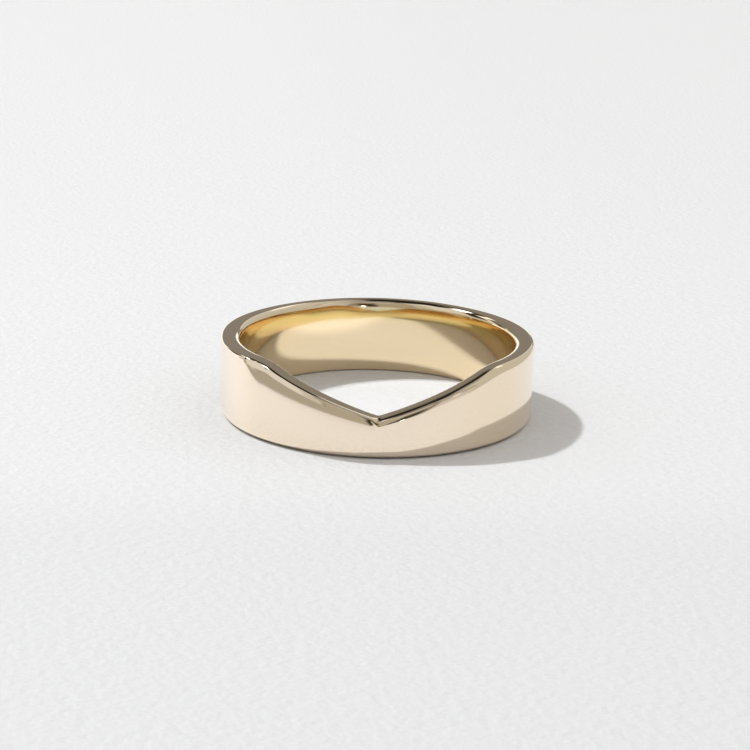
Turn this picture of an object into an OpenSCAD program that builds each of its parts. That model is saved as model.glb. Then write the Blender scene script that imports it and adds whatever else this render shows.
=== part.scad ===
// Curved wedding band: one plain ring whose rim dips to a soft point at the front.
// The ring lies on its side. Its axis is +Z, its flat base is at z = 0, the notch faces -Y,
// and the origin is on the axis, level with the base.

/* [Band] */
// Inside diameter of the ring, where the finger goes
bore_diameter = 17; // [15:0.1:21]
// Thickness of the metal between the bore and the outer wall
wall_thickness = 1.25; // [1.1:0.05:1.8]
// Width of the band along the finger, away from the notch
band_width = 4.85; // [4:0.05:7]

/* [Notch] */
// Depth at which the two straight flanks meet, before their point is blunted
notch_depth = 2.45; // [0.8:0.05:2.8]
// Angle round the finger from the middle of the notch to each shoulder
notch_half_angle = 47; // [35:1:70]
// Radius that blunts the point of the notch
point_radius = 0.5; // [0.3:0.1:2]
// Radius that softens each shoulder
shoulder_radius = 6; // [2:0.5:9]

/* [Edges] */
// Radius of the outer edge of the rim
rim_outer_radius = 0.5; // [0.2:0.05:0.55]
// Radius of the inner edge of the rim
rim_inner_radius = 0.44; // [0.2:0.02:0.5]
// Radius of the outer edge of the base
base_outer_radius = 0.2; // [0.1:0.05:0.4]
// Radius of the inner edge of the base
base_inner_radius = 0.44; // [0.2:0.02:0.5]

/* [Smoothness] */
// Steps across each rounded edge of the rim
edge_steps = 5; // [3:1:8]
// Largest step round the notch, in degrees
notch_step = 2; // [1:0.5:4]
// Largest step round the rest of the rim, in degrees
rim_step = 3.6; // [2:0.4:6]

/* [Hidden] */
$fn = 180;
bore_radius = bore_diameter / 2;
outer_radius = bore_radius + wall_thickness;
middle_radius = bore_radius + wall_thickness / 2;
arc_per_degree = middle_radius * PI / 180;
// How far the cutting surface runs past each wall
margin = 0.05;
// How far the uncut ring stands above the finished rim
spare = 0.5;

// The flanks are straight lines wrapped round the ring at this slope
flank_run = notch_half_angle * arc_per_degree;
flank_slope = notch_depth / flank_run;
flank_angle = atan(flank_slope);
point_level = band_width - notch_depth;
// Distances round the ring from the middle of the notch to where each curve begins and ends
point_end = point_radius * sin(flank_angle);
shoulder_end = flank_run + shoulder_radius * tan(flank_angle / 2);
shoulder_start = shoulder_end - shoulder_radius * sin(flank_angle);

// Height of the rim at a distance round the ring from the middle of the notch: an arc at the
// point, a straight flank, an arc over the shoulder, then level
function rim_height(distance) =
    distance < point_end
        ? point_level + point_radius / cos(flank_angle) - sqrt(pow(point_radius, 2) - pow(distance, 2))
    : distance < shoulder_start
        ? point_level + flank_slope * distance
    : distance < shoulder_end
        ? band_width - shoulder_radius + sqrt(pow(shoulder_radius, 2) - pow(shoulder_end - distance, 2))
    : band_width;

// Even steps from one value up to, but not including, the next
function steps_between(low, high, largest) =
    let (count = max(1, ceil((high - low) / largest)))
    [for (k = [0 : count - 1]) low + (high - low) * k / count];

// Angles from the middle of the notch to the back of the ring
half_turn = concat(
    steps_between(0, point_end / arc_per_degree, 0.7),
    steps_between(point_end / arc_per_degree, shoulder_start / arc_per_degree, notch_step),
    steps_between(shoulder_start / arc_per_degree, shoulder_end / arc_per_degree, 1.6),
    steps_between(shoulder_end / arc_per_degree, 180, rim_step)
);
half_count = len(half_turn);
// The whole turn: one half, the back, then the other half mirrored
turn = concat(half_turn, [180], [for (k = [half_count - 1 : -1 : 1]) 360 - half_turn[k]]);
turn_count = len(turn);

function distance_round(angle) = min(angle, 360 - angle) * arc_per_degree;

// A point of a rounded edge, as [radius, drop below the rim]; 0 is at the wall, 90 on top
function inner_edge(angle) = [
    bore_radius + rim_inner_radius * (1 - cos(angle)),
    -rim_inner_radius * (1 - sin(angle))
];
function outer_edge(angle) = [
    outer_radius - rim_outer_radius * (1 - cos(angle)),
    -rim_outer_radius * (1 - sin(angle))
];
// The last facet of each edge runs on in its own line until it is past the wall
function past_wall(from, to, margin) = to + (to - from) * margin / abs(to[0] - from[0]);

edge_step = 90 / edge_steps;
rim_profile = concat(
    [past_wall(inner_edge(edge_step), inner_edge(0), margin)],
    [for (k = [1 : edge_steps]) inner_edge(k * edge_step)],
    [for (k = [edge_steps : -1 : 1]) outer_edge(k * edge_step)],
    [past_wall(outer_edge(edge_step), outer_edge(0), margin)]
);
profile_count = len(rim_profile);

// Everything above the rim: its lower side is the finished rim surface
module above_rim() {
    ceiling = band_width + 2 * spare;
    rim_points = [
        for (angle = turn)
            for (station = rim_profile)
                [
                    station[0] * sin(angle),
                    -station[0] * cos(angle),
                    rim_height(distance_round(angle)) + station[1]
                ]
    ];
    ceiling_points = [
        for (angle = turn)
            for (radius = [rim_profile[0][0], rim_profile[profile_count - 1][0]])
                [radius * sin(angle), -radius * cos(angle), ceiling]
    ];
    first_ceiling = turn_count * profile_count;
    last = profile_count - 1;
    faces = [
        for (i = [0 : turn_count - 1])
            let (
                here = i * profile_count,
                next = ((i + 1) % turn_count) * profile_count,
                up_here = first_ceiling + 2 * i,
                up_next = first_ceiling + 2 * ((i + 1) % turn_count)
            )
            each concat(
                [for (j = [0 : last - 1]) each [
                    [here + j, here + j + 1, next + j + 1],
                    [here + j, next + j + 1, next + j]
                ]],
                [[here, next, up_next, up_here]],
                [[here + last, up_here + 1, up_next + 1, next + last]],
                [[up_here, up_next, up_next + 1, up_here + 1]]
            )
    ];
    polyhedron(points = concat(rim_points, ceiling_points), faces = faces, convexity = 6);
}

// The corner of a square that a rounded edge takes away, its point at the origin
module corner_waste(radius) {
    difference() {
        translate([-margin, -margin])
            square([radius + margin, radius + margin]);
        translate([radius, radius])
            circle(r = radius);
    }
}

// Section of the uncut ring, with both edges of its base rounded
module base_section() {
    difference() {
        translate([bore_radius, 0])
            square([wall_thickness, band_width + spare]);
        translate([bore_radius, 0])
            corner_waste(base_inner_radius);
        translate([outer_radius, 0])
            mirror([1, 0])
                corner_waste(base_outer_radius);
    }
}

module band() {
    color([0.83, 0.69, 0.44])
        difference() {
            rotate_extrude()
                base_section();
            above_rim();
        }
}

band();
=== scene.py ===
"""A polished gold wedding band with a V-shaped notch in its rim, lying on pale paper in a soft studio."""

import math

import bpy
import numpy as np
from mathutils import Matrix, Vector


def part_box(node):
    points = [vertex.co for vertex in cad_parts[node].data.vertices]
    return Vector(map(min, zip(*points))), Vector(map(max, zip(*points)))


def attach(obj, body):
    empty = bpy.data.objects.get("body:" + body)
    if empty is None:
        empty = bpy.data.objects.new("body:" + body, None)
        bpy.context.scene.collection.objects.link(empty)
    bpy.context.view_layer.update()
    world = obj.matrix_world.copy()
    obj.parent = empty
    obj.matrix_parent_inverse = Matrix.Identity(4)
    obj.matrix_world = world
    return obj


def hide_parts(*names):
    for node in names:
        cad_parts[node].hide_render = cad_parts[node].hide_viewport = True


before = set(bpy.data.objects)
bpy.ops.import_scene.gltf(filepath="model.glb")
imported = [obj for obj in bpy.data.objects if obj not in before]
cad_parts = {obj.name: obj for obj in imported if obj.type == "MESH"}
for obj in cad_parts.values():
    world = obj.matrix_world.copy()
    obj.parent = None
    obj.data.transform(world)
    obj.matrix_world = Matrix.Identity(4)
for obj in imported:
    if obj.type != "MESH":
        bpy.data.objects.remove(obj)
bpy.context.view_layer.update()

# Sizes of the band, in metres. Its reach and height come from the frame.
MM = 0.001
band_low, band_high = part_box("band")
OUTER_RADIUS = (band_high.x - band_low.x) / 2
BAND_WIDTH = band_high.z - band_low.z
WALL_THICKNESS = 1.25 * MM
BORE_RADIUS = OUTER_RADIUS - WALL_THICKNESS
MIDDLE_RADIUS = (OUTER_RADIUS + BORE_RADIUS) / 2
RIM_OUTER_ROUND = 0.5 * MM
RIM_INNER_ROUND = 0.44 * MM
BASE_OUTER_ROUND = 0.4 * MM
BASE_INNER_ROUND = 0.3 * MM

# Slight tapers that lead into the rounds: the bore opens a little towards the full width and towards its
# foot, and the outer wall draws in a little towards the foot. Each is a height in metres and its last
# tilt in degrees. The notch cuts below the bore's upper taper, so its flanks rise from a straight bore.
BORE_TAPER = (0.92 * MM, 7.5)
FOOT_TAPER = (0.8 * MM, 4.0)
BORE_FOOT_TAPER = (0.4 * MM, 2.0)
TAPER_LEAST = 0.2 * MM

# Where the bore's upper taper fades away, in degrees from the back. To the left of the back it is longer,
# from its starts to its ends, and a share of its tilt comes late, by a power of the distance run.
TAPERS_END = (62.0, 86.0)
LONG_TAPER_RISE = 1.3 * MM
LONG_TAPER_SHARE = 0.45
LONG_TAPER_POWER = 6
LONG_TAPER_STARTS = (0.0, 18.0)
LONG_TAPER_ENDS = (45.0, 75.0)

# The rim's inner round is smaller at one place to the left of the back. Its angle and reach are in degrees
# from the notch's point.
BACK_ROUND_LOSS = 0.12 * MM
BACK_LOSS_AT = -162.0
BACK_LOSS_REACH = 14.0

# The notch: its depth, half of its reach round the finger, and its softened corners.
NOTCH_DEPTH = 2.45 * MM
NOTCH_HALF_ANGLE = 47.0
POINT_ROUND = 0.5 * MM
SHOULDER_ROUND = 6.0 * MM

# The buffed slope that the polishing wheel left under the left flank's edge. Its tilts are shares of the
# tilt at which the wall mirrors the horizon to the camera, and its sizes are in metres and degrees. The
# finish turns satin between two shares of its reach.
HORIZON_TILT = 8.3
SLOPE_TILT = 1.25
SLOPE_LEVEL_PART = 0.3
SLOPE_REACH = 0.58 * MM
SLOPE_REACH_PER_DEGREE = 0.024 * MM
SLOPE_SHORTENS = (45.0, 58.0)
SLOPE_LEAST_REACH = 0.2 * MM
SLOPE_STARTS = (0.0, 3.0)
SLOPE_ENDS = (51.0, 60.0)
BEVEL_TILT = 0.45
BEVEL_DEPTH = (0.12 * MM, 0.22 * MM)
EDGE_DROP_PER_LEAN = 0.45
INNER_ROUND_LOSS_PER_LEAN = 1.0
SATIN_FROM = (0.25, 0.7)

# The rim's outer round is sharp along the left flank and the right end, and soft again towards the back.
# On the right flank it is a little smaller round one angle. The angles are in degrees from the point.
SHARP_OUTER_ROUND = 0.24 * MM
RIGHT_END_SHARPENS = (50.0, 100.0)
ENDS_SOFTEN = (95.0, 150.0)
RIGHT_FLANK_ROUND_LOSS = 0.09 * MM
RIGHT_FLANK_LOSS_AT = 23.0
RIGHT_FLANK_LOSS_REACH = 13.0

# Stations and rows of the band's grid: steps in degrees, numbers of rows, and the power that crowds the
# slope's rows towards its top. The flat faces count as slightly worn.
FINE_STEP = 0.1
MIDDLE_STEP = 0.3
COARSE_STEP = 0.75
FINE_END = 6.0
MIDDLE_END = 62.0
ROUND_ROWS = 13
TAPER_ROWS = 12
FOOT_ROWS = 6
SLOPE_ROWS = 28
WALL_ROWS = 8
FACE_ROWS = 5
SLOPE_CROWDING = 1.3
FACE_WEAR = 0.2

# The photograph's view of the band.
IMAGE_SIZE = 750
FOCAL_PIXELS = 1929.6
SENSOR_WIDTH = 36.0
VIEW_AZIMUTH = -1.2
VIEW_ELEVATION = 16.62
VIEW_DISTANCE = 120.7 * MM
VIEW_HEIGHT = 2.145 * MM
VIEW_ROLL = 1.505
VIEW_CENTRE = (376.48, 376.26)
VIEW_END = 10.0

# The key light: where it stands, how wide it looks, its strength and its tint.
KEY_AZIMUTH = -58.0
KEY_ELEVATION = 52.4
KEY_ANGLE = 3.0
KEY_STRENGTH = 2.11
KEY_TINT = (0.97, 1.0, 1.03)

# The studio round the band, as soft panels: name, azimuth and half width, elevation and half height,
# soft edge, all in degrees, and colour. Azimuth 0 is behind the band and 90 is to its right.
ROOM_COLOUR = (0.24, 0.22, 0.19)
PANELS = (
    ("open ceiling", 0, 200, 90, 14, 6, (0.40, 0.38, 0.38)),
    ("left panel", -101, 44, 39, 31, 2, (0.74, 0.73, 0.70)),
    ("left panel shade", -139, 8, 30, 34, 4, (0.58, 0.56, 0.50)),
    ("left skirting", -124, 54, 1, 7, 2, (0.42, 0.40, 0.34)),
    ("left front wall", -165, 16, 30, 32, 2, (0.43, 0.40, 0.33)),
    ("right front wall", 139, 21, 52, 18, 3, (0.45, 0.43, 0.38)),
    ("right front panel", 136, 18, 15, 21, 2, (0.62, 0.61, 0.60)),
    ("right front edge", 133, 4, 44, 9, 2, (0.85, 0.82, 0.75)),
    ("right front shade", 160, 7, 26, 32, 2, (0.29, 0.27, 0.23)),
    ("front ridge", 181, 17, 56, 7, 3, (0.55, 0.53, 0.48)),
    ("right panel", 72, 46, 36, 38, 2, (0.58, 0.57, 0.51)),
    ("right panel edge", 23, 3, 43, 35, 1, (0.70, 0.69, 0.64)),
    ("low dark gap", -49.5, 3.5, 16, 8, 1, (0.03, 0.03, 0.02)),
    ("high dark gap", -54, 3.5, 31, 9, 1, (0.05, 0.05, 0.04)),
    ("backdrop foot", -27, 40, 3, 7, 2, (1.25, 1.25, 1.22)),
    ("lamp spill", -52, 16, 39.5, 3.5, 2, (1.30, 1.28, 1.20)),
    ("key softbox", -61, 14, 53.8, 4.4, 1.5, (5.0, 5.0, 4.9)),
    ("lamp arm", -57, 24, 45.8, 3.8, 1, (0.02, 0.02, 0.01)),
    ("lamp arm end", -77, 8, 40, 4, 2, (0.02, 0.02, 0.01)),
    ("lamp stand", -80, 11, 28, 10, 2, (0.03, 0.03, 0.02)),
    ("small lamp", 31, 14, 48, 5, 2, (1.1, 1.1, 1.05)),
    ("dark canopy", -38, 60, 72, 13, 3, (0.018, 0.016, 0.012)),
    ("dark canopy edge", -8, 12, 51, 9, 3, (0.03, 0.027, 0.02)),
    ("dark canopy side", -120, 24, 76, 8, 3, (0.05, 0.045, 0.035)),
    ("dark crown", 0, 200, 90, 7, 2, (0.02, 0.02, 0.02)),
    ("dark stand", 169, 8, 22, 12, 2, (0.05, 0.045, 0.03)),
    ("dark stand foot", 176, 5, 8, 7, 2, (0.04, 0.04, 0.03)),
    ("sparkle", 168.4, 1.5, 1.6, 1.7, 0.8, (6.0, 6.0, 5.9)),
    ("small reflector", -36.5, 2, 13, 5, 1, (0.88, 0.87, 0.82)),
)
BACKGROUND_COLOUR = (0.88, 0.88, 0.88)

# What the paper gets on top of the panels: a little cool light from all sides.
FILL_SHARE = 0.36
FILL_COLOUR = (1.22, 1.20, 1.245)

# The sheet of paper that the band lies on.
PAPER_HALF_SIZE = 1.5
PAPER_DROP = 0.01 * MM
PAPER_COLOUR = (0.74, 0.74, 0.74)
PAPER_ROUGHNESS = 0.6
PAPER_SHEEN = 0.8

# The paper inside the band glows with painted light, which stands in for light that the bore throws back,
# wherever the key light reaches, most of all by the wall that faces it. Its edge is soft. Close to the
# wall's foot in front the paper's colour is darkened as painted contact shade. The reaches are in metres.
GLOW_STRENGTH = 0.45
GLOW_COLOUR = (1.0, 1.0, 1.0)
GLOW_EVERYWHERE = 0.26
GLOW_BY_WALL = 0.16
GLOW_WALL_REACH = (3.5 * MM, 7.0 * MM)
GLOW_REACH = (1.2 * MM, 5.6 * MM)
GLOW_FADES = (8.0 * MM, 0.0 * MM)
CONTACT_LOSS = 0.45
CONTACT_REACH = (-0.35 * MM, 0.12 * MM)
CONTACT_FRONT = (-2 * MM, -8 * MM)
LIT_EDGE = 0.3 * MM

# Where the light on the paper falls off, painted into the paper's colour as shade: twice towards the
# viewer, to the right, and far out to the left. Each is a start and an end in metres, and the share of
# light lost at the end.
FRONT_FALL = (0.03, -0.06, 0.035)
NEAR_FALL = (-0.012, -0.024, 0.05)
RIGHT_FALL = (-0.03, 0.03, 0.033)
FAR_LEFT_FALL = (-0.06, -0.15, 0.5)

# The paper's faint ribs: their spacing in metres, the direction across them in degrees, how much they
# wander, and the height of ribs and tooth in metres. The scales are of the noise, per metre.
RIB_SPACING = 0.00107
RIB_DIRECTION = 28.5
RIB_WANDER = 5.0
RIB_HEIGHT = 0.000005
TOOTH_HEIGHT = 0.00008
TOOTH_SCALE = 1800.0
WANDER_SCALE = 350.0

# The gold's colours: pale outside, and paler at a glancing look. The rest is painted shade and
# reflection: a little deeper to the right, for the darker reflection on that side; deeper in the bore, for
# the darker light that it mirrors; and richest under the bore's lip, for the saturated light bounced
# between the walls, in a band that starts and ends at two depths under the full width.
GOLD_COLOUR = (0.965, 0.835, 0.68)
RIGHT_SHADED_GOLD = (0.93, 0.785, 0.605)
BORE_SHADED_GOLD = (0.86, 0.705, 0.475)
LIP_BOUNCE_GOLD = (0.77, 0.675, 0.37)
LIP_STARTS = (0.4 * MM, 0.65 * MM)
LIP_ENDS = (1.0 * MM, 1.5 * MM)
GLANCING_COLOUR = (1.0, 0.96, 0.92)
GLANCING_FROM = 0.35
GLANCING_SHARE = 0.4

# The gold's finish: its least roughness, and what fine wheel lines, clouds, worn edges, satin and the
# bore add to it. The scales are of the noise, per metre, along the lines and across them.
LEAST_ROUGHNESS = 0.02
LINES_ROUGHNESS = 0.02
CLOUD_ROUGHNESS = 0.02
WORN_ROUGHNESS = 0.03
SATIN_ROUGHNESS = 0.12
BORE_ROUGHNESS = 0.05
LINES_ALONG = 120
LINES_ACROSS = 26000
CLOUD_SCALE = 420.0
LINES_STRENGTH = 0.02
LINES_HEIGHT = 0.00001

# How often light bounces between the gold's walls, and the brightest that bounced light may be.
MIRROR_BOUNCES = 16
BRIGHTEST_BOUNCE = 1.5


def smooth_step(x):
    """0 below 0, 1 above 1, and 3 x squared minus 2 x cubed between."""
    x = np.clip(x, 0, 1)
    return x * x * (3 - 2 * x)


def rim_height(degrees):
    """Height of the rim over the base at an angle from the notch's point, which is the lowest.

    Unrolled along the middle of the wall, it is a straight slope from the point to the shoulder. A small
    arc softens the point, a large arc leads over the shoulder, and the rest is level at the full width.
    """
    run = np.abs(degrees) * math.radians(1) * MIDDLE_RADIUS
    flank_run = NOTCH_HALF_ANGLE * math.radians(1) * MIDDLE_RADIUS
    slope = NOTCH_DEPTH / flank_run
    angle = math.atan(slope)
    point_level = BAND_WIDTH - NOTCH_DEPTH
    point_end = POINT_ROUND * math.sin(angle)
    shoulder_end = flank_run + SHOULDER_ROUND * math.tan(angle / 2)
    shoulder_start = shoulder_end - SHOULDER_ROUND * math.sin(angle)
    in_point = np.minimum(run, point_end)
    point_arc = point_level + POINT_ROUND / math.cos(angle) - np.sqrt(POINT_ROUND**2 - in_point**2)
    in_shoulder = np.clip(shoulder_end - run, 0, shoulder_end - shoulder_start)
    shoulder_arc = BAND_WIDTH - SHOULDER_ROUND + np.sqrt(SHOULDER_ROUND**2 - in_shoulder**2)
    flank = point_level + slope * run
    return np.where(run < point_end, point_arc, np.where(run < shoulder_start, flank, shoulder_arc))


def between(value, ends):
    """A smooth step from 0 to 1 as value goes from the first end to the second."""
    return smooth_step((value - ends[0]) / (ends[1] - ends[0]))


def buffed_slope(degrees):
    """Depths, lean and tilt of the buffed slope, which lies under the left flank's edge only.

    Depth runs from the slope's foot up to its top. Under its top a narrow bevel is steepest. Below that
    the tilt stays level for a part of the reach and then falls to nothing at the foot. The lean is the
    running sum of the tilt's tangent from the foot up. The finish turns satin towards the foot.
    """
    left = np.maximum(-degrees, 0)
    buffed = between(left, SLOPE_STARTS) * (1 - between(left, SLOPE_ENDS))
    unit = np.radians(HORIZON_TILT) / np.cos(np.radians(np.minimum(left, SLOPE_ENDS[1]))) * buffed
    reach = (SLOPE_REACH + SLOPE_REACH_PER_DEGREE * left) * (1 - between(left, SLOPE_SHORTENS))
    reach = np.maximum(reach, SLOPE_LEAST_REACH)
    depth = reach * np.linspace(1, 0, SLOPE_ROWS)[None, :] ** SLOPE_CROWDING
    tilt = unit * (SLOPE_TILT * (1 - between(depth / reach, (SLOPE_LEVEL_PART, 1.0)))
                   + BEVEL_TILT * (1 - between(depth, BEVEL_DEPTH)))
    slopes = np.tan(tilt)
    steps = (slopes[:, 1:] + slopes[:, :-1]) / 2 * (depth[:, :-1] - depth[:, 1:])
    lean = np.concatenate([np.zeros_like(left), np.cumsum(steps, axis=1)], axis=1)
    satin = between(depth / reach, SATIN_FROM) * buffed
    return depth, lean, tilt[:, -1:], satin


def station_angles():
    """Angles round the band in degrees, close together at the point and wider apart at the back."""
    fine = np.arange(0, FINE_END, FINE_STEP)
    middle = np.arange(FINE_END, MIDDLE_END, MIDDLE_STEP)
    coarse = np.linspace(MIDDLE_END, 180, int((180 - MIDDLE_END) / COARSE_STEP) + 1)
    half = np.concatenate([fine, middle, coarse])
    return np.concatenate([half, -half[-2:0:-1]])


def soft_corner(radius, taper):
    """A corner from its wall to its end face: insets from the wall, distances from the face, and wear.

    The taper's inset is a parabola, the tangent of its last tilt times the square of the distance run
    over twice its height. The round goes on from that tilt to the face at one radius.
    """
    rise, last_tilt = taper
    last = math.radians(last_tilt)
    run = rise * np.linspace(0, 1, FOOT_ROWS)[None, :-1]
    radius = radius * np.ones((1, 1))
    turn = np.linspace(last, math.pi / 2, ROUND_ROWS)[None, :]
    taper_inset = math.tan(last) * run**2 / (2 * rise) + 0 * radius
    round_inset = math.tan(last) * rise / 2 + radius * (math.cos(last) - np.cos(turn))
    taper_level = rise - run + radius * (1 - math.sin(last))
    inset = np.concatenate([taper_inset, round_inset], axis=1)
    level = np.concatenate([taper_level, radius * (1 - np.sin(turn))], axis=1)
    worn = np.concatenate([0 * taper_inset, np.sin(2 * turn) + 0 * radius], axis=1)
    return inset, level, worn


def band_surface(degrees):
    """Points of the band as an array of stations by rows, and how worn and how satin each is, 0 to 1.

    A row runs once round the wall's section: the base from bore to outside, up the outer wall and the
    buffed slope, over the rim and down the bore. Where the slope leans inward, the edge above it is
    sharper and a little lower. The bore's upper taper starts at one level all round, so the notch cuts
    it away, and its tilt grows with the distance run and, to the left of the back, with a power of it.
    """
    a = degrees[:, None]
    one = np.ones_like(a)
    depth, lean, tilt, satin = buffed_slope(a)
    edge_lean = lean[:, -1:]
    height = rim_height(a) - EDGE_DROP_PER_LEAN * edge_lean
    share = np.linspace(0, 1, FACE_ROWS)[None, 1:-1]
    wall_share = np.linspace(0, 1, WALL_ROWS)[None, 1:-1]

    def row(r, z, worn, satin=0):
        return np.broadcast_arrays(r * one, z * one, worn * one, satin * one)

    inset, level, worn = soft_corner(BASE_INNER_ROUND, BORE_FOOT_TAPER)
    base_from = BORE_RADIUS + inset[:, -1:]
    bore_foot = level[:, :1]
    base_in = row(BORE_RADIUS + inset, level, worn)

    inset, level, worn = (part[:, ::-1] for part in soft_corner(BASE_OUTER_ROUND, FOOT_TAPER))
    base_to = OUTER_RADIUS - inset[:, :1]
    wall_foot = level[:, -1:]
    base_out = row(OUTER_RADIUS - inset, level, worn)
    base = row(base_from + (base_to - base_from) * share, 0 * share, 0 * share)

    sharp = between(-a, SLOPE_STARTS) + between(a, RIGHT_END_SHARPENS)
    sharp = sharp * (1 - between(abs(a), ENDS_SOFTEN))
    loss = RIGHT_FLANK_ROUND_LOSS * (1 - between(abs(a - RIGHT_FLANK_LOSS_AT), (0, RIGHT_FLANK_LOSS_REACH)))
    outer_round = RIM_OUTER_ROUND - loss + (SHARP_OUTER_ROUND - RIM_OUTER_ROUND) * sharp
    round_foot = height - outer_round * (1 - np.sin(tilt))
    wall_top = round_foot - depth[:, :1]
    wall = row(OUTER_RADIUS, wall_foot + (wall_top - wall_foot) * wall_share, 0, satin[:, :1] * wall_share)
    slope = row(OUTER_RADIUS - lean[:, :-1], round_foot - depth[:, :-1], 0, satin[:, :-1])
    turn = tilt + (math.pi / 2 - tilt) * np.linspace(0, 1, ROUND_ROWS)[None, :]
    edge_radius = OUTER_RADIUS - edge_lean
    rim_out = row(edge_radius - outer_round * (np.cos(tilt) - np.cos(turn)),
                  height - outer_round * (1 - np.sin(turn)), np.sin(2 * turn))

    inner_round = RIM_INNER_ROUND - INNER_ROUND_LOSS_PER_LEAN * edge_lean
    inner_round = inner_round - BACK_ROUND_LOSS * (1 - between(abs(a - BACK_LOSS_AT), (0, BACK_LOSS_REACH)))
    from_back = 180 - abs(a)
    rise, last_tilt = BORE_TAPER
    last = np.radians(last_tilt) * (1 - between(from_back, TAPERS_END))
    longer = between(from_back, LONG_TAPER_STARTS) * (1 - between(from_back, LONG_TAPER_ENDS)) * (a < 0)
    rise = rise + (LONG_TAPER_RISE - rise) * longer
    late = LONG_TAPER_SHARE * longer
    taper_start = BAND_WIDTH - inner_round * (1 - np.sin(last)) - rise
    run = np.clip((height - inner_round * (1 - np.sin(last)) - taper_start) / rise, 0, 1)
    open_tilt = last * ((1 - late) * run + late * run**LONG_TAPER_POWER)
    round_start = height - inner_round * (1 - np.sin(open_tilt))
    bore_top = np.minimum(taper_start, round_start - TAPER_LEAST)
    level = round_start + (bore_top - round_start) * np.linspace(0, 1, TAPER_ROWS)[None, :]
    run = np.maximum(level - taper_start, 0) / rise
    late_inset = late * run**(LONG_TAPER_POWER + 1) / (LONG_TAPER_POWER + 1)
    inset = np.tan(last) * rise * ((1 - late) * run**2 / 2 + late_inset)
    taper = row(BORE_RADIUS + inset[:, 1:], level[:, 1:], 0)
    turn = open_tilt + (math.pi / 2 - open_tilt) * np.linspace(1, 0, ROUND_ROWS)[None, :]
    edge_inset = inset[:, :1] + inner_round * (np.cos(open_tilt) - np.cos(turn))
    rim_in = row(BORE_RADIUS + edge_inset, height - inner_round * (1 - np.sin(turn)), np.sin(2 * turn))
    face_from = edge_radius - outer_round * np.cos(tilt)
    face_to = BORE_RADIUS + edge_inset[:, :1]
    face = row(face_from + (face_to - face_from) * share, height, FACE_WEAR)
    bore = row(BORE_RADIUS, bore_top + (bore_foot - bore_top) * wall_share, 0)

    parts = (base_in, base, base_out, wall, slope, rim_out, face, rim_in, taper, bore)
    r, z, worn, satin = (np.concatenate([part[k] for part in parts], axis=1) for k in range(4))
    angle = np.radians(a)
    return np.stack([r * np.sin(angle), -r * np.cos(angle), z], axis=-1), worn, satin


def closed_grid(name, points, attributes):
    """A smooth mesh object from an array of stations by rows that closes on itself both ways."""
    stations, rows = points.shape[:2]
    index = np.arange(stations * rows).reshape(stations, rows)
    next_row = np.roll(index, -1, axis=1)
    faces = np.stack([index, np.roll(index, -1, axis=0), np.roll(next_row, -1, axis=0), next_row], axis=-1)
    mesh = bpy.data.meshes.new(name)
    mesh.from_pydata(points.reshape(-1, 3).tolist(), [], faces.reshape(-1, 4).tolist())
    mesh.polygons.foreach_set("use_smooth", np.ones(stations * rows, bool))
    for label, values in attributes.items():
        layer = mesh.attributes.new(label, "FLOAT", "POINT")
        layer.data.foreach_set("value", values.ravel().astype(np.float32))
    mesh.update()
    piece = bpy.data.objects.new(name, mesh)
    bpy.context.scene.collection.objects.link(piece)
    return piece


class Socket:
    """An output of a node tree. Arithmetic on it adds Math nodes."""

    def __init__(self, sheet, output):
        self.sheet = sheet
        self.output = output

    def math(self, operation, *values):
        return self.sheet.add("ShaderNodeMath", {"operation": operation}, dict(enumerate(values)))

    def __add__(self, other):
        return self.math("ADD", self, other)

    def __sub__(self, other):
        return self.math("SUBTRACT", self, other)

    def __rsub__(self, other):
        return self.math("SUBTRACT", other, self)

    def __mul__(self, other):
        return self.math("MULTIPLY", self, other)

    def __abs__(self):
        return self.math("ABSOLUTE", self)

    __radd__ = __add__
    __rmul__ = __mul__


class Sheet:
    """A node tree that starts empty. add() makes any node and returns one of its outputs."""

    def __init__(self, owner):
        owner.use_nodes = True
        self.tree = owner.node_tree
        self.tree.nodes.clear()

    def add(self, kind, settings=None, inputs=None, output=0):
        node = self.tree.nodes.new(kind)
        for name, value in (settings or {}).items():
            setattr(node, name, value)
        for name, value in (inputs or {}).items():
            if isinstance(value, Socket):
                self.tree.links.new(value.output, node.inputs[name])
            else:
                node.inputs[name].default_value = value
        return Socket(self, node.outputs[output]) if len(node.outputs) else None

    def parts(self, vector):
        """The X, Y and Z of a vector."""
        node = self.add("ShaderNodeSeparateXYZ", inputs={0: vector}).output.node
        return [Socket(self, node.outputs[k]) for k in range(3)]

    def blend(self, factor, first, second):
        """A colour from first to second as factor goes from 0 to 1."""
        return self.add("ShaderNodeMix", {"data_type": "RGBA"}, {0: factor, 6: first, 7: second}, output=2)

    def ramp(self, value, low, high, to_low=0.0, to_high=1.0):
        """A soft step from to_low to to_high as value goes from low to high."""
        return self.add("ShaderNodeMapRange", {"interpolation_type": "SMOOTHSTEP"},
                        {0: value, 1: low, 2: high, 3: to_low, 4: to_high})


def opaque(colour):
    """The colour with an alpha of 1."""
    return (*colour, 1.0)


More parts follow.
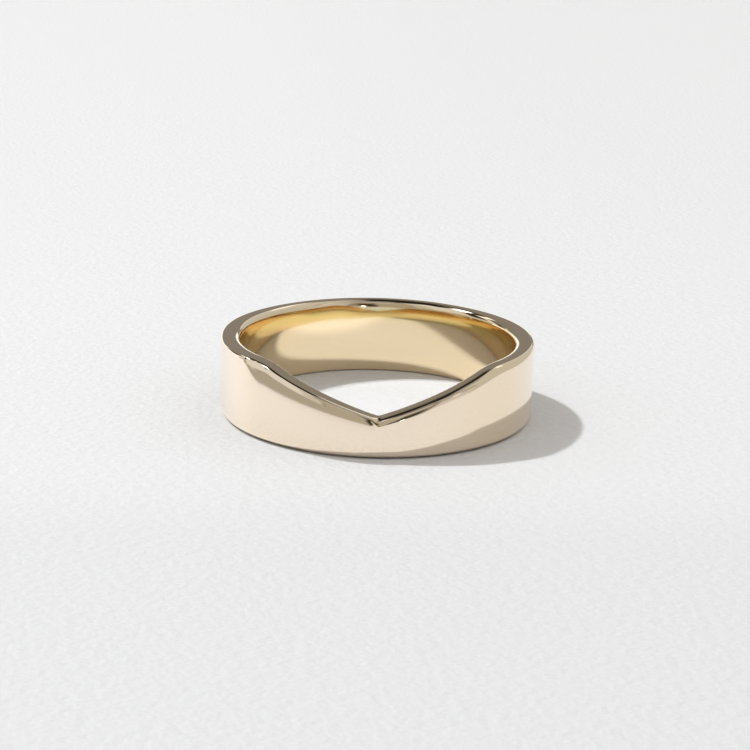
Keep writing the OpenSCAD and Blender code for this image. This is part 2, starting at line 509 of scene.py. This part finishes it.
def polished_gold():
    """Pale gold: nearly a mirror, with fine wheel lines round the band and duller, softer edges."""
    material = bpy.data.materials.new("polished_gold")
    sheet = Sheet(material)
    place = sheet.add("ShaderNodeTexCoord", output="Object")
    x, y, z = sheet.parts(place)
    radius = sheet.add("ShaderNodeVectorMath", {"operation": "LENGTH"},
                       {0: sheet.add("ShaderNodeCombineXYZ", inputs={0: x, 1: y})}, output="Value")
    lines_at = sheet.add("ShaderNodeCombineXYZ", inputs={
        0: x * LINES_ALONG, 1: y * LINES_ALONG, 2: (z + radius) * LINES_ACROSS})
    lines = sheet.add("ShaderNodeTexNoise", inputs={"Vector": lines_at, "Scale": 1.0, "Detail": 3.0})
    cloud = sheet.add("ShaderNodeTexNoise", inputs={"Vector": place, "Scale": CLOUD_SCALE, "Detail": 2.0})
    worn = sheet.add("ShaderNodeAttribute", {"attribute_name": "worn"}, output="Fac")
    inside = sheet.ramp(radius, BORE_RADIUS, BORE_RADIUS + RIM_INNER_ROUND / 2, 1.0, 0.0)
    satin = sheet.add("ShaderNodeAttribute", {"attribute_name": "satin"}, output="Fac")
    finish = worn * WORN_ROUGHNESS + satin * SATIN_ROUGHNESS + inside * BORE_ROUGHNESS
    roughness = cloud * CLOUD_ROUGHNESS + lines * LINES_ROUGHNESS + finish + LEAST_ROUGHNESS
    glancing = sheet.add("ShaderNodeLayerWeight", inputs={"Blend": 0.5}, output="Facing")
    pale = sheet.ramp(glancing, GLANCING_FROM, 1.0, 0.0, GLANCING_SHARE)
    # Painted shade and reflection in the gold's colour: deeper to the right, in the bore, and deepest under
    # the bore's lip.
    gold = sheet.blend(sheet.ramp(x, 0.0, OUTER_RADIUS), opaque(GOLD_COLOUR), opaque(RIGHT_SHADED_GOLD))
    tone = sheet.blend(pale, gold, opaque(GLANCING_COLOUR))
    lip = sheet.ramp(BAND_WIDTH - z, *LIP_STARTS) * sheet.ramp(BAND_WIDTH - z, *LIP_ENDS, 1.0, 0.0)
    tone = sheet.blend(inside, tone, sheet.blend(lip, opaque(BORE_SHADED_GOLD), opaque(LIP_BOUNCE_GOLD)))
    bump = sheet.add("ShaderNodeBump", inputs={
        "Strength": LINES_STRENGTH, "Distance": LINES_HEIGHT, "Height": lines})
    shader = sheet.add("ShaderNodeBsdfPrincipled", inputs={
        "Base Color": tone, "Metallic": 1.0, "Roughness": roughness, "Normal": bump})
    sheet.add("ShaderNodeOutputMaterial", inputs={"Surface": shader})
    return material


def paper():
    """White paper with faint slanting ribs and a fine tooth. Its colour is darkened as painted shade: a
    little towards the viewer, to the right, far out to the left and by the band's foot in front.

    The painted glow inside the band, which stands in for light the bore throws back, ends at the wall's
    shadow, the bore's circle shifted away from the key light.
    """
    material = bpy.data.materials.new("paper")
    sheet = Sheet(material)
    place = sheet.add("ShaderNodeTexCoord", output="Object")
    x, y, _ = sheet.parts(place)
    tooth = sheet.add("ShaderNodeTexNoise", inputs={"Vector": place, "Scale": TOOTH_SCALE, "Detail": 1.0})
    wander = sheet.add("ShaderNodeTexNoise", inputs={"Vector": place, "Scale": WANDER_SCALE, "Detail": 1.0})
    turn = math.radians(RIB_DIRECTION)
    along = (x * math.cos(turn) + y * math.sin(turn)) * (2 * math.pi / RIB_SPACING)
    ribs = along.math("SINE", along + wander * RIB_WANDER)
    height = ribs * (RIB_HEIGHT / 2) + tooth * TOOTH_HEIGHT
    bump = sheet.add("ShaderNodeBump", inputs={"Strength": 1.0, "Distance": 1.0, "Height": height})
    radius = sheet.add("ShaderNodeVectorMath", {"operation": "LENGTH"},
                       {0: sheet.add("ShaderNodeCombineXYZ", inputs={0: x, 1: y})}, output="Value")
    # Painted contact shade: the paper's colour darkens by the band's outer foot, towards the front.
    near = sheet.ramp(radius - OUTER_RADIUS, *CONTACT_REACH, CONTACT_LOSS, 0.0)
    kept = 1.0 - near * sheet.ramp(radius, BORE_RADIUS, MIDDLE_RADIUS) * sheet.ramp(y, *CONTACT_FRONT)
    facing = math.radians(KEY_AZIMUTH + 180)
    shadow = BAND_WIDTH / math.tan(math.radians(KEY_ELEVATION))
    shifted = sheet.add("ShaderNodeVectorMath", {"operation": "DISTANCE"}, {0: place, 1: (
        shadow * math.sin(facing), shadow * math.cos(facing), 0.0)}, output="Value")
    # The painted glow: light that the bore throws back, painted as emission on the paper where the key
    # light reaches inside the band.
    lit = sheet.ramp(shifted, BORE_RADIUS - LIT_EDGE, BORE_RADIUS, 1.0, 0.0)
    lit = lit * sheet.ramp(radius, BORE_RADIUS, MIDDLE_RADIUS, 1.0, 0.0)
    glow = sheet.ramp(x * math.sin(facing) + y * math.cos(facing), *GLOW_REACH) * sheet.ramp(y, *GLOW_FADES)
    glow = (glow + sheet.ramp(radius, *GLOW_WALL_REACH) * GLOW_BY_WALL + GLOW_EVERYWHERE) * lit
    # Painted fall-off of light: the paper's colour darkens towards the viewer, to the right and far out to
    # the left.
    falls = ((y, FRONT_FALL), (y, NEAR_FALL), (x, RIGHT_FALL), (x, FAR_LEFT_FALL))
    for place_on, (start, end, lost) in falls:
        kept = sheet.ramp(place_on, start, end, 1.0, 1.0 - lost) * kept
    tone = sheet.blend(kept, opaque((0, 0, 0)), opaque(PAPER_COLOUR))
    shader = sheet.add("ShaderNodeBsdfPrincipled", inputs={
        "Base Color": tone, "Roughness": PAPER_ROUGHNESS, "Specular IOR Level": PAPER_SHEEN, "Normal": bump,
        "Emission Color": sheet.blend(glow, opaque((0, 0, 0)), opaque(GLOW_COLOUR)),
        "Emission Strength": GLOW_STRENGTH})
    sheet.add("ShaderNodeOutputMaterial", inputs={"Surface": shader})
    return material


def studio_world():
    """The panels round the band, each a soft-edged patch of the sky, laid over the room in turn."""
    world = bpy.data.worlds.new("studio")
    bpy.context.scene.world = world
    sheet = Sheet(world)
    x, y, z = sheet.parts(sheet.add("ShaderNodeTexCoord", output="Generated"))
    azimuth = x.math("ARCTAN2", x, y) * math.degrees(1)
    elevation = z.math("ARCSINE", z) * math.degrees(1)
    colour = opaque(ROOM_COLOUR)
    for _, middle, half_width, level, half_height, soft, panel_colour in PANELS:
        across = abs((azimuth - middle).math("WRAP", azimuth - middle, 180.0, -180.0))
        upward = abs(elevation - level)
        mask = sheet.ramp(across, half_width - soft, half_width + soft, 1.0, 0.0) * sheet.ramp(
            upward, half_height - soft, half_height + soft, 1.0, 0.0)
        colour = sheet.blend(mask, colour, opaque(panel_colour))
    on_paper = sheet.add("ShaderNodeLightPath", output="Is Diffuse Ray")
    colour = sheet.blend(on_paper * FILL_SHARE, colour, opaque(FILL_COLOUR))
    seen = sheet.add("ShaderNodeLightPath", output="Is Camera Ray")
    colour = sheet.blend(seen, colour, opaque(BACKGROUND_COLOUR))
    light = sheet.add("ShaderNodeBackground", inputs={"Color": colour, "Strength": 1.0})
    sheet.add("ShaderNodeOutputWorld", inputs={"Surface": light})


def direction(azimuth, elevation):
    """Unit vector at an azimuth from +Y towards +X and an elevation above the floor, in degrees."""
    a, e = math.radians(azimuth), math.radians(elevation)
    return Vector((math.sin(a) * math.cos(e), math.cos(a) * math.cos(e), math.sin(e)))


def key_light(floor):
    """The one hard light, which throws the band's shadow to the right.

    It lights the paper only: the gold mirrors its softbox among the studio's panels.
    """
    light = bpy.data.lights.new("key_light", "SUN")
    light.energy = KEY_STRENGTH
    light.angle = math.radians(KEY_ANGLE)
    light.color = KEY_TINT
    lamp = bpy.data.objects.new("key_light", light)
    lamp.light_linking.receiver_collection = bpy.data.collections.new("lit_by_key")
    lamp.light_linking.receiver_collection.objects.link(floor)
    lamp.rotation_euler = direction(KEY_AZIMUTH, KEY_ELEVATION).to_track_quat("Z", "Y").to_euler()
    bpy.context.scene.collection.objects.link(lamp)


def paper_floor():
    """A flat square of paper just under the band."""
    s = PAPER_HALF_SIZE
    mesh = bpy.data.meshes.new("paper_floor")
    corners = [(-s, -s, -PAPER_DROP), (s, -s, -PAPER_DROP), (s, s, -PAPER_DROP), (-s, s, -PAPER_DROP)]
    mesh.from_pydata(corners, [], [(0, 1, 2, 3)])
    mesh.materials.append(paper())
    floor = bpy.data.objects.new("paper_floor", mesh)
    bpy.context.scene.collection.objects.link(floor)
    return floor


def photo_camera():
    """The camera of the photograph: a long lens, a little above the floor, turned slightly on its axis."""
    view = bpy.data.cameras.new("photo_camera")
    view.sensor_fit = "HORIZONTAL"
    view.sensor_width = SENSOR_WIDTH
    view.lens = FOCAL_PIXELS / IMAGE_SIZE * SENSOR_WIDTH
    view.shift_x = (IMAGE_SIZE / 2 - VIEW_CENTRE[0]) / IMAGE_SIZE
    view.shift_y = (VIEW_CENTRE[1] - IMAGE_SIZE / 2) / IMAGE_SIZE
    view.clip_start = MM
    view.clip_end = VIEW_END
    camera = bpy.data.objects.new("photo_camera", view)
    away = direction(180 - VIEW_AZIMUTH, VIEW_ELEVATION)
    roll = Matrix.Rotation(math.radians(VIEW_ROLL), 4, "Z")
    turn = away.to_track_quat("Z", "Y").to_matrix().to_4x4() @ roll
    place = Matrix.Translation(Vector((0, 0, VIEW_HEIGHT)) + away * VIEW_DISTANCE)
    camera.matrix_world = place @ turn
    bpy.context.scene.collection.objects.link(camera)
    bpy.context.scene.camera = camera


def make_band():
    """The band itself, which stands for the CAD band and carries the gold."""
    points, worn, satin = band_surface(station_angles())
    piece = closed_grid("wedding_band", points, {"worn": worn, "satin": satin})
    piece.data.materials.append(polished_gold())
    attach(piece, "root")
    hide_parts("band")


make_band()
key_light(paper_floor())
studio_world()
photo_camera()
bpy.context.scene.view_settings.view_transform = "Standard"
bpy.context.scene.cycles.max_bounces = MIRROR_BOUNCES
bpy.context.scene.cycles.glossy_bounces = MIRROR_BOUNCES
bpy.context.scene.cycles.sample_clamp_indirect = BRIGHTEST_BOUNCE
